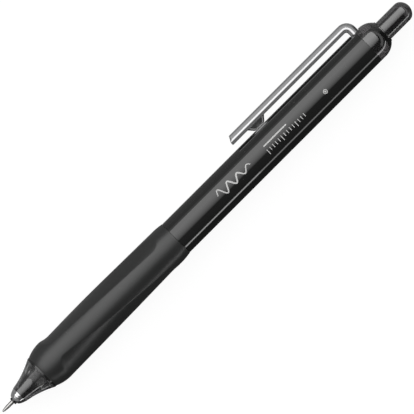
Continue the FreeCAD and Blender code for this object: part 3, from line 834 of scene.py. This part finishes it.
nose = turned("nose_smoky_cone", nose_outline, rib_angles, ribbed)
paint(nose, nose_smoke_and_painted_light)
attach(nose, "nose")
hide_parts("nose_cone")

# %% [markdown]
# The thread on the nose's spigot is seen only when the nose is unscrewed. It is a thin ridge that
# winds round the spigot, made as a sweep of a small triangle: one ring of three points per step.

# %% Thread ridge
def winding(name, section, start, finish, radius, turns, steps_per_turn=40):
    """Sweeps a closed section, given as (along, out) offsets, along a screw line."""
    steps = int(turns * steps_per_turn)
    rings = []
    for step in range(steps + 1):
        share = step / steps
        angle = math.tau * turns * share
        fade = min(1.0, 8 * share, 8 * (1 - share))
        along = start + (finish - start) * share
        rings.append([on_axis(along + shift, radius + out * fade, angle) for shift, out in section])
    tool = bmesh.new()
    add_rings(tool, rings, False)
    cover_ends(tool, len(section))
    return finish_mesh(name, tool)


thread_section = [(-0.35, -0.08), (0, 0.035), (0.35, -0.08)]
thread_turns = 3.0
thread = winding("nose_thread", thread_section, nose_rear + 1.2, spigot_rear - 0.6, nose_spigot,
                 thread_turns)
paint(thread, nose_smoke_and_painted_light)
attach(thread, "nose")

# %% [markdown]
# ## Nose ring
#
# A small bright ring tips the nose. It is turned like the rest, with a rounded front and a short
# spigot that sits inside the cone.

# %% Nose ring
ring_bore = 1.12
ring_face = 0.2
ring_round_len = 1.35
ring_shoulder = nose_radius - 0.26
ring_bow = 3.2
ring = turned("nose_bright_ring", rounded([
    (ring_front, ring_bore, 0.05),
    (ring_front, ring_bore + ring_face, 0.10),
    *bow_corners((ring_front, ring_bore + ring_face),
                 (ring_front + ring_round_len, ring_shoulder), ring_bow, 1, 12),
    (ring_front + ring_round_len, ring_shoulder, 0.2),
    (nose_front - seat_gap, nose_radius, 0.05),
    (nose_front - seat_gap, spigot_hole - 0.05, 0),
    (ring_spigot_rear, spigot_hole - 0.05, 0.05),
    (ring_spigot_rear, stem_bore, 0.05),
    (nose_front - seat_gap, stem_bore, 0),
    (nose_front - seat_gap, ring_bore, 0),
]))
paint(ring, ring_finish)
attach(ring, "nose_front")
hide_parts("nose_ring")

# %% [markdown]
# ## Refill front
#
# The writing point is a thin turned cone with the ball held in its lip. It is pressed into a black
# holder, whose stem carries the spring and whose back end plugs the ink tube.

# %% Ball, point and holder
ball_low, ball_high = span("ball")
ball_radius = (ball_high.x - ball_low.x) / 2
ball_steps = 24
ball_outline = [
    Vector((ball_low.x + ball_radius * (1 - math.cos(math.pi * step / ball_steps)),
            ball_radius * math.sin(math.pi * step / ball_steps)))
    for step in range(ball_steps + 1)
]
ball_outline[0].y = 0.0
ball_outline[-1].y = 0.0
ball = turned("writing_ball", ball_outline, closed=False)
paint(ball, ball_finish)
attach(ball, "refill")
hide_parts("ball")

point_front, point_rear = ends_of("tip_cone")
shank_radius = span("tip_cone")[1].z
cone_radius = 0.55
ink_hole = 0.12
point = turned("writing_point", rounded([
    (point_front, 0.252, 0),
    (point_front, 0.32, 0.03),
    (point_front + 0.55, 0.40, 0.1),
    (point_front + 1.35, 0.50, 0.1),
    (holder_front, cone_radius, 0),
    (holder_front, shank_radius, 0),
    (point_rear, shank_radius, 0.05),
    (point_rear, ink_hole, 0),
    (point_front + 0.3, ink_hole, 0),
]))
paint(point, point_finish)
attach(point, "refill")
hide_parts("tip_cone")

neck_radius = 1.0
neck_rear = holder_front + 4.2
stem_radius = 1.3
stem_rear = neck_rear + 8.7
shoulder_rear = stem_rear + 1.5
tube_bore = refill_radius - 0.5
holder_hole = 0.45
holder = turned("refill_holder", rounded([
    (holder_front, shank_radius, 0),
    (holder_front, neck_radius, 0.18),
    (neck_rear, neck_radius, 0.03),
    (neck_rear, stem_radius, 0.06),
    (stem_rear, stem_radius, 0.1),
    (stem_rear, refill_radius, 0.12),
    (shoulder_rear, refill_radius, 0.05),
    (shoulder_rear, tube_bore, 0),
    (holder_rear, tube_bore, 0.1),
    (holder_rear, holder_hole, 0),
    (point_rear, holder_hole, 0),
    (point_rear, shank_radius, 0),
]))
paint(holder, holder_finish)
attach(holder, "refill")
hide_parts("tip_holder")

# %% [markdown]
# ## Return spring
#
# The spring is a coil with two flat end turns. In the pen it stays on its seat in the nose while
# its other end follows the refill; here it is made once, at rest, and joins no moving body.

# %% Return spring
wire_radius = 0.16
wire_corners = 10
coil_gap = 0.16
coil_radius = stem_radius + coil_gap + wire_radius
coil_turns = 9
coil_steps = 44
ends_flat = 1.0


def coil_share(turn):
    """How far along the spring a turn is: the first and last turns lie flat."""
    pitch_turns = coil_turns - 2 * ends_flat
    flat_pitch = 2.05 * wire_radius
    room = spring_rear - spring_front - 2 * wire_radius
    steep = (room - 2 * ends_flat * flat_pitch) / pitch_turns
    if turn < ends_flat:
        return turn * flat_pitch
    if turn > coil_turns - ends_flat:
        return room - (coil_turns - turn) * flat_pitch
    return ends_flat * flat_pitch + (turn - ends_flat) * steep


coil_rings = []
for step in range(coil_turns * coil_steps + 1):
    turn = step / coil_steps
    along = spring_front + wire_radius + coil_share(turn)
    ring_points = []
    for corner in range(wire_corners):
        around = math.tau * corner / wire_corners
        ring_points.append(on_axis(along + wire_radius * math.cos(around),
                                   coil_radius + wire_radius * math.sin(around),
                                   math.tau * turn))
    coil_rings.append(ring_points)
coil_tool = bmesh.new()
add_rings(coil_tool, coil_rings, False)
cover_ends(coil_tool, wire_corners)
spring = finish_mesh("return_spring_coil", coil_tool)
paint(spring, spring_finish)
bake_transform(spring)
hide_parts("return_spring")
print(f"spring: {coil_turns} turns over {spring_rear - spring_front:.2f} mm")

# %% [markdown]
# ## Cap and push button
#
# The cap closes the barrel with a rounded dome and holds the clip's other half of the mouth. The
# button is a hollow plunger with a crowned end and a flange that keeps it inside the cap.

# %% Rear cap
button_radius = 2.8
cap_bore = button_radius + 0.15
dome_start = barrel_rear + 1.6
dome_bow = 4.75
lip_start = cap_rear - 0.42
lip_radius = cap_bore + 0.50
cap = turned("rear_smoky_cap", rounded([
    (cap_front, cap_bore, 0.05),
    (cap_front, rear_bore, 0.12),
    (barrel_rear + seat_gap, rear_bore, 0),
    (barrel_rear + seat_gap, barrel_radius, 0.04),
    (dome_start, barrel_radius, 0),
    *bow_corners((dome_start, barrel_radius), (lip_start, lip_radius), dome_bow, 1, 20),
    (lip_start, lip_radius, 0),
    (cap_rear - 0.34, cap_bore + 0.34, 0.05),
    (cap_rear - 0.05, cap_bore + 0.30, 0.14),
    (cap_rear, cap_bore + 0.05, 0.05),
    (cap_rear, cap_bore, 0.03),
]))
cut_slot(cap)
paint(cap, cap_smoke)
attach(cap, "body")
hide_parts("rear_cap")

# %% Push button
button_bore = button_radius - 0.9
button_crown = 3.1
button_corner = 2.05
crown_centre = button_end - button_crown
corner_reach = math.sqrt((button_crown - button_corner) ** 2
                         - (button_radius - button_corner) ** 2)
corner_centre = crown_centre + corner_reach
meet = button_crown / (button_crown - button_corner)
meet_point = (crown_centre + corner_reach * meet, (button_radius - button_corner) * meet)
flange_rear = button_front + 1.3
flange_radius = button_radius + 0.5
button_floor = button_end - 2.5
button_outline = rounded([
    (button_floor, 0, 0),
    (button_floor, button_bore, 0.3),
    (button_front, button_bore, 0.05),
    (button_front, flange_radius, 0.1),
    (flange_rear, flange_radius, 0.1),
    (flange_rear, button_radius, 0.1),
    (corner_centre, button_radius, 0),
    *bow_corners((corner_centre, button_radius), meet_point, button_corner, 1, 16),
    (*meet_point, 0),
    *bow_corners(meet_point, (button_end, 0.0), button_crown, 1, 12),
    (button_end, 0, 0),
], closed=False)
button = turned("push_button", button_outline, closed=False)
paint(button, button_smoke)
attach(button, "button")
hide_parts("button")

# %% [markdown]
# ## Clip
#
# The clip is folded from plated sheet: short straight sides, shoulders that slope up to a narrow
# back, and edges that turn in below. The folded section is swept along the arm, round one bend and
# down the leg. Its free end is cut back in a soft step, further at its back than below, and is
# closed by a small tab. A pressed bump below holds cloth against the barrel.

# %% The folded section and its path
clip_outer = clip_high.y
clip_under = clip_outer - clip_height
clip_middle = (clip_outer + clip_under) / 2
leg_middle = clip_high.x - clip_height / 2
clip_bend = 1.85
clip_slant = 0.95
step_low = -0.30
step_height = 0.45
step_share = 0.88

half_outside = [(-1.2, 0.70, 0), (-1.2, 1.05, 0.25), (-0.45, 1.65, 0.22),
                (0.02, 1.65, 0.12), (1.2, 0.92, 0.22)]
half_inside = [(-0.8, 0.70, 0), (-0.8, 0.98, 0.1), (-0.28, 1.25, 0.1),
               (0.0, 1.25, 0.1), (0.8, 0.75, 0.1)]


def whole_section():
    """Closed outline of the folded sheet as (out from the pen, across) offsets."""
    outside = half_outside + [(out, -across, r) for out, across, r in reversed(half_outside)]
    inside = [(out, -across, r) for out, across, r in half_inside]
    inside += list(reversed(half_inside))
    return rounded(outside + inside, steps=4)


def clip_path():
    """Stations of the sweep: a point of the middle line and the outward direction there."""
    stations = []
    straight = leg_middle - clip_bend
    for step in range(13):
        along = clip_low.x + (straight - clip_low.x) * step / 12
        stations.append((Vector((along, clip_middle, 0)), Vector((0, 1, 0))))
    for step in range(1, 17):
        angle = math.pi / 2 * step / 16
        out = Vector((math.sin(angle), math.cos(angle), 0))
        centre = Vector((straight, clip_middle - clip_bend, 0))
        stations.append((centre + out * clip_bend, out))
    stations.append((Vector((leg_middle, clip_low.y + 0.3, 0)), Vector((1, 0, 0))))
    stations.append((Vector((leg_middle, clip_low.y, 0)), Vector((1, 0, 0))))
    return stations


def end_step(out):
    """How far the clip's free end is cut back, from its underside to its back."""
    return clip_slant * (1 - step_share + step_share * ease((out - step_low) / step_height))


def sweep_section(tool, section, stations):
    """Rings of the section along the stations; the first ring is cut back in a step."""
    rings = []
    for number, (middle, out) in enumerate(stations):
        ring_points = []
        for point in section:
            place = middle + out * point[0] + Vector((0, 0, point[1]))
            if number == 0:
                place.x += end_step(point[0])
            ring_points.append(place * MM)
        rings.append(ring_points)
    add_rings(tool, rings, False)
    cover_ends(tool, len(section))


# %% Clip
clip_tool = bmesh.new()
sweep_section(clip_tool, whole_section(), clip_path())
clip = finish_mesh("pocket_clip", clip_tool)
paint(clip, clip_finish)
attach(clip, "clip")
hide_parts("clip")

# %% End tab and bump
bump_start = clip_low.x + 5.0
bump_half = (3.3, 1.7)
bump_width = (1.1, 0.70)
bump_middle = bump_start + bump_half[0]
bump_root = clip_under + 0.25
bump_foot = barrel_radius + 0.05
bump_taper = 0.8
bump_square = 0.8
bump_corners = 48
foot_start = 0.85
foot_shrink = 0.15


def squared(part):
    """A sine or cosine, pushed outwards a little so that an ellipse gets fuller corners."""
    return math.copysign(abs(part) ** bump_square, part)


def end_tab():
    """A small plate that closes the arm's hollow end, cut back in the same step."""
    outline_points = rounded([(out, across, r) for out, across, r in half_inside[1:]]
                             + [(out, -across, r) for out, across, r in reversed(half_inside[1:])],
                             steps=3)
    tool = bmesh.new()
    rings = []
    for depth in (0.12, 0.45):
        rings.append([
            Vector((clip_low.x + depth + end_step(out), clip_middle + out, across)) * MM
            for out, across in outline_points])
    add_rings(tool, rings, False)
    cover_ends(tool, len(outline_points))
    return finish_mesh("clip_end_tab", tool)


def bump():
    """A pressed boss: widest where it leaves the clip, narrower below, and rounded at its foot."""
    levels = 16
    rings = []
    for level in range(levels + 1):
        share = level / levels
        drop = share ** bump_taper
        height = between((bump_root, bump_foot), share)
        round_off = max(share - foot_start, 0.0) / (1 - foot_start)
        shrink = 1 - foot_shrink * round_off ** 2
        along_half = between(bump_half, drop) * shrink
        across_half = between(bump_width, drop) * shrink
        ring_points = []
        for corner in range(bump_corners):
            angle = math.tau * corner / bump_corners
            along = squared(math.cos(angle)) * along_half
            across = squared(math.sin(angle)) * across_half
            ring_points.append(Vector((bump_middle + along, height, across)) * MM)
        rings.append(ring_points)
    tool = bmesh.new()
    add_rings(tool, rings, False)
    cover_ends(tool, bump_corners)
    return finish_mesh("clip_bump", tool)


for detail in (end_tab(), bump()):
    paint(detail, clip_finish)
    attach(detail, "clip")

# %% [markdown]
# ## Printed marks
#
# The barrel carries plain white marks with no letters: a little wavy stroke, as if the pen had
# just been tried, a row of short ticks with a line beside it, and a dot in a ring.
# Each is a thin skin that is wrapped onto the barrel's top, so a mark is drawn flat, as places
# (along, across), and then bent round.

# %% Printed marks
print_height = 0.012


def wrapped(along, across):
    """A flat place bent onto the barrel's top."""
    angle = math.pi / 2 - across / barrel_radius
    return on_axis(along, barrel_radius + print_height, angle)


def ribbon(tool, places, width):
    """A flat strip that follows places; width(share) gives its width."""
    last = len(places) - 1
    rows = []
    for number, place in enumerate(places):
        here = Vector(place)
        before = Vector(places[max(number - 1, 0)])
        after = Vector(places[min(number + 1, last)])
        across = (after - before).normalized().orthogonal() * width(number / last) / 2
        rows.append([tool.verts.new(wrapped(*(here + across * side))) for side in (-1, 0, 1)])
    for first, second in zip(rows, rows[1:]):
        for side in (0, 1):
            tool.faces.new((first[side], first[side + 1], second[side + 1], second[side]))


def straight(start, finish, steps):
    start, finish = Vector(start), Vector(finish)
    return [tuple(start.lerp(finish, step / steps)) for step in range(steps + 1)]


mark_tool = bmesh.new()
wave_ends = (77.5, 89.0)
wave_reach = (1.35, 0.6075)
wave_count = 3.5
wave_steps = 120
wave = []
for step in range(wave_steps + 1):
    share = step / wave_steps
    wave.append((between(wave_ends, share),
                 between(wave_reach, share) * math.sin(math.tau * wave_count * share)))
ribbon(mark_tool, wave, lambda share: 0.22 + 0.20 * math.sin(math.pi * share))
tick_start, tick_pitch, tick_count = 94.5, 1.0, 14
tick_base = -0.35
short_tick, long_tick = 1.05, 1.55
line_length, line_across = 8.0, 0.75
for tick in range(tick_count):
    tick_length = long_tick if tick % 5 == 0 else short_tick
    along = tick_start + tick * tick_pitch
    ribbon(mark_tool, straight((along, tick_base - tick_length), (along, tick_base), 8),
           lambda share: 0.20)
ribbon(mark_tool, straight((tick_start, line_across), (tick_start + line_length, line_across), 24),
       lambda share: 0.34)
dot_along, dot_across = 115.4, -0.45
dot_steps = 48
for inner, outer_edge in ((0.0, 0.26), (0.44, 0.62)):
    middle_line = (inner + outer_edge) / 2
    circle = [(dot_along + middle_line * math.cos(math.tau * step / dot_steps),
               dot_across + middle_line * math.sin(math.tau * step / dot_steps))
              for step in range(dot_steps + 1)]
    ribbon(mark_tool, circle, lambda share, wide=outer_edge - inner: wide)
marks = finish_mesh("printed_marks", mark_tool, merge=1e-9)
paint(marks, print_finish)
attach(marks, "body")
print(f"printed marks: {len(marks.data.polygons)} faces")

# %% [markdown]
# ## Table, lights and camera
#
# The pen lies on a plain table, which is white to the eye and a grey card in reflections. One
# large soft box hangs over the clip's side and fades towards the other side: its straight edge
# draws the crisp upper edge of the long highlight on the barrel, and its fading side the soft lower
# one. A dimmer card carries it on in front of the point, where the nose's curves mirror it. Low on
# the other side, three narrow strips lie end to end and draw the second, thin line; the middle one
# is the brightest. The sky gives a faint fill, stronger towards the clip and the point, with a
# brighter band beside the pen that the clip's shoulders mirror. The camera looks straight down
# through a long lens, turned so that the pen runs from the lower left to the upper right.

# %% Table
def emission_material(name, strength):
    material = bpy.data.materials.new(name)
    material.use_nodes = True
    tree = material.node_tree
    tree.nodes.clear()
    output = tree.nodes.new("ShaderNodeOutputMaterial")
    glow = tree.nodes.new("ShaderNodeEmission")
    glow.inputs["Color"].default_value = (1.0, 1.0, 1.0, 1.0)
    glow.inputs["Strength"].default_value = strength
    tree.links.new(glow.outputs[0], output.inputs["Surface"])
    return material, tree, glow, output


def seen_directly(tree):
    """1 for what the eye sees, itself or through clear plastic, and 0 for reflected light."""
    ray = tree.nodes.new("ShaderNodeLightPath")
    return add_math(tree, "MAXIMUM", ray.outputs["Is Camera Ray"],
                    ray.outputs["Is Transmission Ray"])


def table_material():
    """White to the eye; in reflections a grey card, darker on the side away from the clip."""
    material, tree, glow, output = emission_material("table_white", 0.93)
    soft = tree.nodes.new("ShaderNodeBsdfDiffuse")
    soft.inputs["Color"].default_value = (0.12, 0.12, 0.12, 1.0)
    seen = tree.nodes.new("ShaderNodeAddShader")
    tree.links.new(glow.outputs[0], seen.inputs[0])
    tree.links.new(soft.outputs[0], seen.inputs[1])
    card = tree.nodes.new("ShaderNodeBsdfDiffuse")
    place = tree.nodes.new("ShaderNodeTexCoord")
    split = tree.nodes.new("ShaderNodeSeparateXYZ")
    tree.links.new(place.outputs["Object"], split.inputs[0])
    clip_side = above(tree, split.outputs["Y"], -0.004, 0.008)
    tree.links.new(mix_colours(tree, clip_side, (0.05, 0.05, 0.05), (0.28, 0.28, 0.28)),
                   card.inputs["Color"])
    choice = tree.nodes.new("ShaderNodeMixShader")
    tree.links.new(seen_directly(tree), choice.inputs["Fac"])
    tree.links.new(card.outputs[0], choice.inputs[1])
    tree.links.new(seen.outputs[0], choice.inputs[2])
    tree.links.new(choice.outputs[0], output.inputs["Surface"])
    return material


def flat_card(name, corners, material):
    tool = bmesh.new()
    tool.faces.new([tool.verts.new(corner) for corner in corners])
    mesh = bpy.data.meshes.new(name)
    tool.to_mesh(mesh)
    tool.free()
    made = bpy.data.objects.new(name, mesh)
    bpy.context.scene.collection.objects.link(made)
    made.data.materials.append(material)
    return made


floor_height = cad_box[0].z
reach = 6.0
flat_card("table", [(-reach, -reach, floor_height), (reach, -reach, floor_height),
                    (reach, reach, floor_height), (-reach, reach, floor_height)],
          table_material())

# %% Soft box, front card and strips
box_tilts = (55.5, -22.0)
strip_tilts = (-76.0, -86.0)
light_distance = 0.55
light_ends = (-0.42, 0.52)
front_ends = (-1.15, light_ends[0])


def light_edge(degrees, distance):
    """A place beside the pen, tilted by degrees from straight up towards +Y."""
    angle = math.radians(degrees)
    return distance * math.sin(angle), distance * math.cos(angle)


def long_light(name, tilts, strength, stops, ends=light_ends):
    """A long emissive card between two tilts, with its brightness given across it."""
    material, tree, glow, _ = emission_material(name, strength)
    place = tree.nodes.new("ShaderNodeTexCoord")
    split = tree.nodes.new("ShaderNodeSeparateXYZ")
    ramp = tree.nodes.new("ShaderNodeValToRGB")
    tree.links.new(place.outputs["UV"], split.inputs[0])
    tree.links.new(split.outputs["Y"], ramp.inputs["Fac"])
    tree.links.new(ramp.outputs["Color"], glow.inputs["Color"])
    marks_across = ramp.color_ramp.elements
    for number, (where, bright) in enumerate(stops):
        stop = marks_across[number] if number < 2 else marks_across.new(where)
        stop.position = where
        stop.color = (bright, bright, bright, 1.0)
    low, high = [light_edge(tilt, light_distance) for tilt in tilts]
    left, right = ends
    card = flat_card(name, [(left, *low), (right, *low), (right, *high), (left, *high)], material)
    layer = card.data.uv_layers.new(name="across")
    for corner, spot in enumerate(((0, 0), (1, 0), (1, 1), (0, 1))):
        layer.data[corner].uv = spot
    card.visible_camera = False
    return card


long_light("soft_box", box_tilts, 1.7,
           [(0.0, 1.0), (1.0, 0.03), (0.42, 1.0), (0.60, 0.80), (0.75, 0.58), (0.9, 0.30)])
strip_joins = (0.050, 0.097)
strips = [("front_strip", (light_ends[0], strip_joins[0]), 1.3),
          ("middle_strip", strip_joins, 2.9),
          ("rear_strip", (strip_joins[1], 0.80), 1.5)]
for name, ends, strength in strips:
    long_light(name, strip_tilts, strength, [(0.0, 1.0), (1.0, 1.0)], ends=ends)
long_light("front_card", box_tilts, 0.85, [(0.0, 1.0), (1.0, 0.1)], ends=front_ends)

# %% Surroundings and camera
room_light = 0.04
side_light = 0.16
shoulder_light = 0.36


def sky_brightness(sky):
    """The room's light in each direction; X, Y and Z are those of the direction itself."""
    direction = sky.nodes.new("ShaderNodeTexCoord")
    sides = sky.nodes.new("ShaderNodeSeparateXYZ")
    sky.links.new(direction.outputs["Generated"], sides.inputs[0])
    ahead, beside, up = sides.outputs
    towards_clip = above(sky, beside, 0.0, 0.4)
    towards_point = above(sky, add_math(sky, "MULTIPLY", ahead, -1.0), 0.55, 0.3)
    side = add_math(sky, "MAXIMUM", towards_clip, towards_point)
    band = add_math(sky, "SUBTRACT", above(sky, up, 0.36, 0.04), above(sky, up, 0.62, 0.04))
    away = add_math(sky, "MAXIMUM", above(sky, beside, 0.2, 0.2), above(sky, ahead, 0.2, 0.2))
    shoulder = add_math(sky, "MULTIPLY", band, away)
    fill = add_math(sky, "MAXIMUM", add_math(sky, "MULTIPLY", side, side_light),
                    add_math(sky, "MULTIPLY", shoulder, shoulder_light))
    return add_math(sky, "ADD", fill, room_light)


world = bpy.data.worlds.new("studio")
bpy.context.scene.world = world
world.use_nodes = True
sky = world.node_tree
sky.nodes.clear()
sky_out = sky.nodes.new("ShaderNodeOutputWorld")
seen_sky = sky.nodes.new("ShaderNodeBackground")
dim_sky = sky.nodes.new("ShaderNodeBackground")
for background in (seen_sky, dim_sky):
    background.inputs["Color"].default_value = (1, 1, 1, 1)
sky.links.new(sky_brightness(sky), dim_sky.inputs["Strength"])
sky_mix = sky.nodes.new("ShaderNodeMixShader")
sky.links.new(seen_directly(sky), sky_mix.inputs["Fac"])
sky.links.new(dim_sky.outputs[0], sky_mix.inputs[1])
sky.links.new(seen_sky.outputs[0], sky_mix.inputs[2])
sky.links.new(sky_mix.outputs[0], sky_out.inputs["Surface"])

view_width = 105.3 * MM
view_middle = Vector((73.55 * MM, 0.06 * MM, 0))
lens = bpy.data.cameras.new("camera")
lens.lens = 400.0
lens.sensor_width = 36.0
distance = view_width * lens.lens / lens.sensor_width
camera = bpy.data.objects.new("camera", lens)
bpy.context.scene.collection.objects.link(camera)
camera.location = view_middle + Vector((0, 0, distance))
camera.rotation_euler = (0, 0, math.radians(-45))
lens.clip_start = 0.05
lens.clip_end = 20.0
bpy.context.scene.camera = camera
bpy.context.scene.view_settings.view_transform = "Standard"
print(f"camera {distance:.2f} m above the pen")
